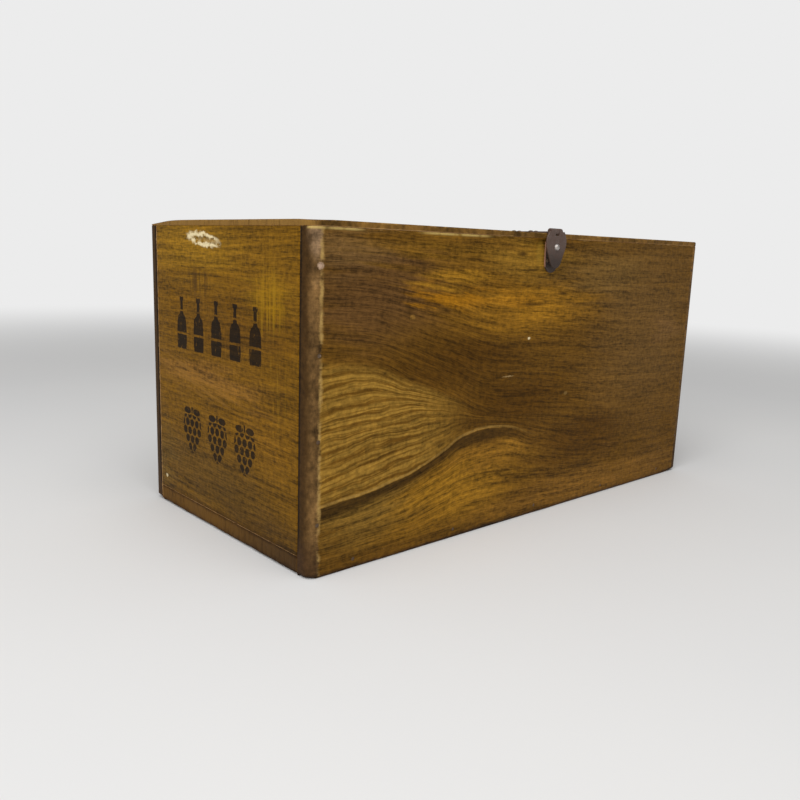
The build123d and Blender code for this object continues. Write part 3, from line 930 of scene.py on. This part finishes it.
def round_plan(points, low, high, corners):
    """Makes the square corners of a block's plan round.

    Gives each point's new place in the plan, its distance inside the plan's edge, and the way inwards.
    """
    middle = (low + high) / 2
    half = (high - low) / 2
    offset = points[:, :2] - middle[:2]
    sign = np.where(offset < 0, -1.0, 1.0)
    gap = half[:2] - np.abs(offset)
    right = sign[:, 0] > 0
    behind = sign[:, 1] > 0
    front_radius = np.where(right, corners[1], corners[0])
    back_radius = np.where(right, corners[2], corners[3])
    radius = np.where(behind, back_radius, front_radius)

    q = radius[:, None] - gap
    in_corner = (q > 0).all(axis=1)
    reach = np.maximum(q.max(axis=1), 1e-9)
    length = np.maximum(np.hypot(q[:, 0], q[:, 1]), 1e-9)
    q = np.where(in_corner[:, None], q * (reach / length)[:, None], q)
    plan = middle[:2] + sign * (half[:2] - radius[:, None] + q)

    new_length = np.maximum(np.hypot(q[:, 0], q[:, 1]), 1e-9)
    corner_distance = radius - np.hypot(q[:, 0], q[:, 1])
    side_distance = (radius[:, None] - q).min(axis=1)
    distance = np.where(in_corner, corner_distance, side_distance)
    along_x = q[:, 0] > q[:, 1]
    flat_way = np.where(along_x[:, None], np.array([1.0, 0.0]), np.array([0.0, 1.0]))
    inwards = -sign * np.where(in_corner[:, None], q / new_length[:, None], flat_way)
    return plan, distance, inwards


def round_board(points, low, high, wear):
    """Rounds the upright corners and the arrises of a gridded block, and wears them unevenly."""
    plan, plan_distance, inwards = round_plan(points, low, high, wear.corners)
    middle = (low + high) / 2
    depth_top = high[2] - points[:, 2]
    depth_low = points[:, 2] - low[2]

    coarse, coarse_scale = COARSE_WEAR
    fine, fine_scale = FINE_WEAR
    uneven = 1 + coarse * wear_noise(points, coarse_scale, wear.seed)
    uneven = uneven + fine * wear_noise(points, fine_scale, wear.seed + 2)
    outside = -(inwards * plan).sum(axis=1) > half_depth - OUTSIDE_MARGIN
    lower = outside & (points[:, 2] < middle[2])
    arris = np.where(lower, wear.foot, wear.arris) * np.clip(uneven, LEAST_WEAR, MOST_WEAR)
    arris = np.minimum(arris, 0.8 * (high[2] - low[2]))

    z = points[:, 2].copy()
    shift = np.zeros(len(points))
    for depth, direction in ((depth_top, -1.0), (depth_low, 1.0)):
        near = (plan_distance < arris) & (depth < arris)
        wa = arris - plan_distance
        wb = arris - depth
        ratio = np.maximum(wa, wb) / np.maximum(np.hypot(wa, wb), 1e-9)
        new_plan = arris - wa * ratio
        new_depth = arris - wb * ratio
        shift = np.where(near, new_plan - plan_distance, shift)
        z = np.where(near, z + direction * (new_depth - depth), z)
    for place, spot_reach, sink in wear.soft_spots:
        away = np.linalg.norm(points - np.array(place), axis=1)
        at_top = place[2] > middle[2]
        depth = depth_top if at_top else depth_low
        share = np.clip(1 - depth / LID_EDGE, 0, 1)
        sink = sink * share * np.exp(-((away / spot_reach) ** 2))
        z = z - sink if at_top else z + sink
    return np.column_stack([plan + inwards * shift[:, None], z])


def board_piece(name, low, high, wear, material):
    """Makes one worn block of wood as a smooth-shaded mesh object."""
    low, high = np.array(low), np.array(high)
    points, faces = grid_box(low, high)
    points = round_board(points, low, high, wear)
    mesh = bpy.data.meshes.new(name)
    mesh.from_pydata([tuple(p) for p in points], [], faces)
    mesh.shade_smooth()
    mesh.update()
    mesh.materials.append(material)
    return link_object(name, mesh)


def link_object(name, data):
    made = bpy.data.objects.new(name, data)
    bpy.context.scene.collection.objects.link(made)
    return made


def combine(piece, other, operation):
    """Joins another shape to a piece or cuts it away, and deletes the other shape."""
    step = piece.modifiers.new("combine", "BOOLEAN")
    step.operation = operation
    step.solver = "EXACT"
    step.object = other
    bpy.context.view_layer.update()
    shape = piece.evaluated_get(bpy.context.evaluated_depsgraph_get())
    result = bpy.data.meshes.new_from_object(shape)
    piece.modifiers.remove(step)
    old = piece.data
    piece.data = result
    other_mesh = other.data
    bpy.data.meshes.remove(old)
    bpy.data.objects.remove(other)
    bpy.data.meshes.remove(other_mesh)


def finish_board(piece, node, body, cutter):
    """Cuts a board, keeps its flat faces flat in the shading, and puts it in its place."""
    if cutter.verts:
        mesh = bpy.data.meshes.new("cutter")
        cutter.to_mesh(mesh)
        combine(piece, link_object("cutter", mesh), "DIFFERENCE")
    cutter.free()
    flat = piece.modifiers.new("flat", "WEIGHTED_NORMAL")
    flat.keep_sharp = False
    flat.weight = 70
    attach(piece, body)
    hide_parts(node)


def loose_parts(node):
    """Gives the lowest and highest corner of each separate solid of a node."""
    work = bmesh.new()
    work.from_mesh(frame["nodes"][node].data)
    bmesh.ops.remove_doubles(work, verts=work.verts, dist=0.001 * MM)
    seen = set()
    parts = []
    for start in work.verts:
        if start in seen:
            continue
        stack, found = [start], []
        seen.add(start)
        while stack:
            vert = stack.pop()
            found.append(np.array(vert.co))
            for edge in vert.link_edges:
                other = edge.other_vert(vert)
                if other not in seen:
                    seen.add(other)
                    stack.append(other)
        found = np.array(found)
        parts.append((found.min(axis=0), found.max(axis=0)))
    work.free()
    return parts


def add_hole(cutter, place, axis, radius, depth):
    """Adds a round hole to a cutter, centred on a face that looks along Y (axis 1) or Z (axis 2)."""
    turn = Matrix.Rotation(math.pi / 2, 4, "X") if axis == 1 else Matrix.Identity(4)
    bmesh.ops.create_cone(
        cutter,
        cap_ends=True,
        segments=24,
        radius1=radius,
        radius2=radius,
        depth=2 * depth,
        matrix=Matrix.Translation(Vector(place)) @ turn,
    )


def add_nail_pits(cutter, nail_nodes, low, high):
    """Adds a small pit over each nail that enters through one of the board's outer faces."""
    for nail_node in nail_nodes:
        for part_low, part_high in loose_parts(nail_node):
            axis = int(np.argmax(part_high - part_low))
            for end, face in ((part_low, low), (part_high, high)):
                if abs(end[axis] - face[axis]) < 2 * NAIL_PIT_DEPTH:
                    place = (part_low + part_high) / 2
                    place[axis] = face[axis]
                    add_hole(cutter, place, axis, NAIL_PIT_RADIUS, NAIL_PIT_DEPTH)


def add_hinge_pockets(cutter):
    """Adds the shallow pockets for both hinges, on both sides of the seam under the lid."""
    size = Vector((HINGE_WIDTH, 2 * (half_depth - HINGE_FRONT), 2 * HINGE_POCKET_DEPTH))
    for side in (-1, 1):
        place = Matrix.Translation(Vector((side * HINGE_MIDDLE, half_depth, wall_top)))
        bmesh.ops.create_cube(cutter, size=1.0, matrix=place @ Matrix.Diagonal((*size, 1)))


# The box's five boards

NAILS = {
    "front_board": ["front_corner_nails", "front_base_nails"],
    "back_board": ["back_corner_nails", "back_base_nails"],
    "base_board": ["end_base_nails"],
}
SOFT_FEET = {
    "front_board": [((half_length, -half_depth, 0), 8 * MM, 2.5 * MM)],
    "back_board": [((-half_length, half_depth, 0), 12 * MM, 3.0 * MM)],
}
SQUARE = [SMALL_CORNER] * 4
FRONT_CORNERS = [LONG_CORNER, RIGHT_CORNER, SMALL_CORNER, SMALL_CORNER]
BACK_CORNERS = [SMALL_CORNER, SMALL_CORNER, RIGHT_CORNER, LONG_CORNER]
BOARDS = [
    ("front_board", "stained_wood", front_material, FRONT_CORNERS, LONG_ARRIS, FOOT_ARRIS),
    ("back_board", "stained_wood", back_material, BACK_CORNERS, LONG_ARRIS, FOOT_ARRIS),
    ("left_end_board", "stained_wood", lambda: end_material(-1), SQUARE, END_ARRIS, END_ARRIS),
    ("right_end_board", "stained_wood", lambda: end_material(1), SQUARE, END_ARRIS, END_ARRIS),
    ("base_board", "base_wood", base_material, SQUARE, LONG_ARRIS, FOOT_ARRIS),
]
for seed, (node, slot, material, corners, arris, foot) in enumerate(BOARDS, 1):
    low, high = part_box(node)
    wear = Wear(corners, arris, foot, seed, SOFT_FEET.get(node, ()))
    piece = board_piece(node + "_worn", low, high, wear, material())
    cutter = bmesh.new()
    add_nail_pits(cutter, NAILS.get(node, []), low, high)
    if node == "front_board":
        add_hole(cutter, (0, front_low.y, KEEPER_HOLE_HEIGHT), 1, KEEPER_HOLE_RADIUS, KEEPER_HOLE_DEPTH)
    if node == "back_board":
        add_hinge_pockets(cutter)
    finish_board(piece, node, "box", cutter)

# The lid's rim covers the walls, and the tongue under it drops inside them
back_left_corner = (lid_low.x, lid_high.y, lid_high.z)
front_left_corner = (lid_low.x, lid_low.y, lid_high.z)
sunk_corners = [(back_left_corner, 26 * MM, 3.0 * MM), (front_left_corner, 9 * MM, 0.8 * MM)]
rim_corners = [LONG_CORNER, RIGHT_CORNER, RIGHT_CORNER, LONG_CORNER]
rim_wear = Wear(rim_corners, LID_ARRIS, END_ARRIS, 6, sunk_corners)
tongue_low = Vector((inner_x + LID_PLAY, inner_y + LID_PLAY, lid_low.z))
tongue_high = Vector((-inner_x - LID_PLAY, -inner_y - LID_PLAY, rim_low.z + LID_OVERLAP))
tongue_wear = Wear(SQUARE, LONG_ARRIS, LONG_ARRIS, 7, ())
lid_wood = lid_material()
lid = board_piece("lid_board_worn", rim_low, lid_high, rim_wear, lid_wood)
tongue = board_piece("tongue", tongue_low, tongue_high, tongue_wear, lid_wood)
combine(lid, tongue, "UNION")
cutter = bmesh.new()
add_hinge_pockets(cutter)
finish_board(lid, "lid_board", "lid", cutter)

# Iron and steel, in their own shapes

near_corner_nail = (-half_length, 198 * MM)
plate_colours = (tone(96, 78, 70), tone(92, 64, 48), tone(132, 116, 106))
nail_colours = (tone(92, 74, 56), tone(88, 58, 38), tone(200, 168, 142))
knob_colours = (tone(176, 170, 166), tone(150, 136, 120), tone(205, 200, 192))
IRON = {
    "dark_iron": iron_material("aged_iron", plate_colours, 0.5, 0.3, shaded_below=216 * MM),
    "nail_steel": iron_material("nail_steel", nail_colours, 0.5, 0.3, rubbed_at=near_corner_nail),
    "knob_steel": iron_material("knob_steel", knob_colours, 0.32, 0.8),
}
for part in frame["record"]["subparts"]:
    if part["material_slot"] in IRON:
        node = frame["nodes"][part["node"]]
        node.data.materials.clear()
        node.data.materials.append(IRON[part["material_slot"]])


# Floor, light and camera

BACKGROUND = tone(236, 236, 236)
FLOOR_TONES = (tone(226, 226, 226), tone(232, 231, 229))
FLOOR_SIZE = 12.0
FLOOR_DROP = 0.1 * MM
FLOOR_FADE = (0.7, 2.2)
SKY_PLACE = (-0.6, -0.7, 1.6)
SKY_SIZE = (1.8, 1.8)
SKY_POWER = 22
WINDOW_PLACE = (-1.5, -0.6, 0.8)
WINDOW_SIZE = (1.0, 1.0)
WINDOW_POWER = 9
WORLD_STRENGTH = 0.35


def floor_material():
    """Makes a pale floor that keeps the box's shadow and fades into the background."""
    g = Graph("floor")
    away = g.math("SQRT", g.x * g.x + g.y * g.y)
    out = g.tree.nodes["Material Output"]
    glow = g.node("ShaderNodeEmission")
    glow.inputs["Color"].default_value = BACKGROUND
    blend = g.node("ShaderNodeMixShader")
    g.feed(blend.inputs[0], g.fade(away, *FLOOR_FADE))
    cloud = g.noise(g.place, scale=3)
    g.feed(g.shader.inputs["Base Color"], g.mix(*FLOOR_TONES, cloud))
    g.shader.inputs["Roughness"].default_value = 0.8
    g.tree.links.new(g.shader.outputs[0], blend.inputs[1])
    g.tree.links.new(glow.outputs[0], blend.inputs[2])
    g.tree.links.new(blend.outputs[0], out.inputs["Surface"])
    return g.material


floor_mesh = bpy.data.meshes.new("floor")
half = FLOOR_SIZE / 2
floor_corners = [(-half, -half, 0), (half, -half, 0), (half, half, 0), (-half, half, 0)]
floor_mesh.from_pydata(floor_corners, [], [(0, 1, 2, 3)])
floor_mesh.materials.append(floor_material())
floor = link_object("floor", floor_mesh)
floor.location.z = -FLOOR_DROP


def soft_light(name, place, size, power):
    """Makes a large soft lamp that looks at the middle of the box."""
    lamp = bpy.data.lights.new(name, "AREA")
    lamp.shape = "RECTANGLE"
    lamp.size, lamp.size_y = size
    lamp.energy = power
    holder = link_object(name, lamp)
    holder.location = place
    holder.rotation_mode = "QUATERNION"
    box_middle = Vector((0, 0, lid_high.z / 2))
    holder.rotation_quaternion = (box_middle - Vector(place)).to_track_quat("-Z", "Y")


soft_light("sky", SKY_PLACE, SKY_SIZE, SKY_POWER)
soft_light("window", WINDOW_PLACE, WINDOW_SIZE, WINDOW_POWER)

# The world lights the box with soft white. The camera, and glass, see the background there instead.
world = bpy.data.worlds.new("studio")
world.use_nodes = True
world_nodes = world.node_tree.nodes
fill = world_nodes["Background"]
fill.inputs["Color"].default_value = (1, 1, 1, 1)
fill.inputs["Strength"].default_value = WORLD_STRENGTH
backdrop = world_nodes.new("ShaderNodeBackground")
backdrop.inputs["Color"].default_value = BACKGROUND
choose = world_nodes.new("ShaderNodeMixShader")
ray = world_nodes.new("ShaderNodeLightPath")
seen = world_nodes.new("ShaderNodeMath")
seen.operation = "MAXIMUM"
link = world.node_tree.links.new
link(ray.outputs["Is Camera Ray"], seen.inputs[0])
link(ray.outputs["Is Transmission Ray"], seen.inputs[1])
link(seen.outputs[0], choose.inputs[0])
link(fill.outputs[0], choose.inputs[1])
link(backdrop.outputs[0], choose.inputs[2])
link(choose.outputs[0], world_nodes["World Output"].inputs["Surface"])
bpy.context.scene.world = world

camera_data = bpy.data.cameras.new("camera")
camera_data.lens = CAMERA_LENS
camera_data.sensor_width = SENSOR_WIDTH
camera_data.clip_start = CLIP_START
camera = link_object("camera", camera_data)
aim = Matrix.Rotation(math.radians(CAMERA_TURN), 4, "Z")
aim = aim @ Matrix.Rotation(math.radians(90 + CAMERA_PITCH), 4, "X")
aim = aim @ Matrix.Rotation(math.radians(CAMERA_ROLL), 4, "Z")
camera.matrix_world = Matrix.Translation(Vector(CAMERA_PLACE)) @ aim
bpy.context.scene.camera = camera

bpy.context.scene.view_settings.view_transform = "Standard"
